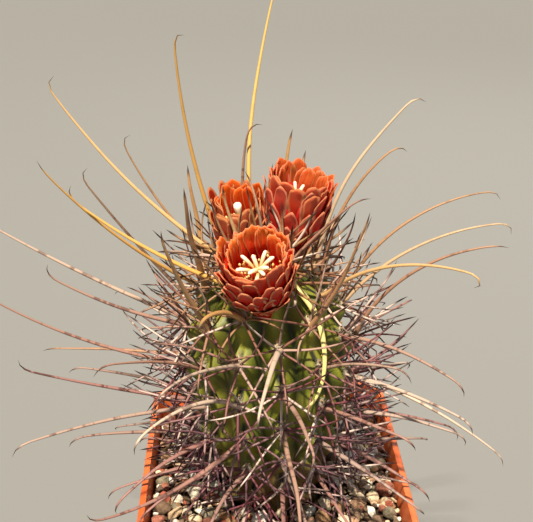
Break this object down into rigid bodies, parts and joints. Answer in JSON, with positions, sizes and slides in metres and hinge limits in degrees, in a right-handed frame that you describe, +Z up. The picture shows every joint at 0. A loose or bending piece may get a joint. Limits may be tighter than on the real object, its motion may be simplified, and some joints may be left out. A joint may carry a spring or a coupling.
{
  "type": "potted cat-claw cactus in bloom",
  "caption": "Ribbed ovoid cactus with long hooked spines and brick-red blooms at its crown, standing in mineral grit in a square terracotta-coloured pot.",
  "frame": {"origin": "centre of the pot's flat underside, on the surface it stands on", "axes": "+Z up through the pot; the plant's front, to which its front bloom leans, faces -Y; +X to the right seen from the front"},
  "size_m": [0.1868, 0.1624, 0.2685],
  "materials": {
    "pot_plastic": "moulded terracotta-orange polypropylene, satin",
    "mineral_grit": "dry mixed quartz, lava and pumice stones, matt",
    "cactus_skin": "waxy olive-green skin with pink-grey to straw-yellow horny spines",
    "petals": "thin brick-red petals with paler edges, soft sheen",
    "anthers": "pollen-dusted, matt",
    "stigma": "cream, velvety"
  },
  "bodies": {
    "root": {"pot": "pot_plastic", "grit": "mineral_grit", "cactus_stem": "cactus_skin", "bloom_front": "petals", "bloom_left": "petals", "bloom_right": "petals", "stamens_front": "anthers", "stamens_left": "anthers", "stamens_right": "anthers", "pistil_front": "stigma", "pistil_left": "stigma", "pistil_right": "stigma"}
  },
  "joints": []
}
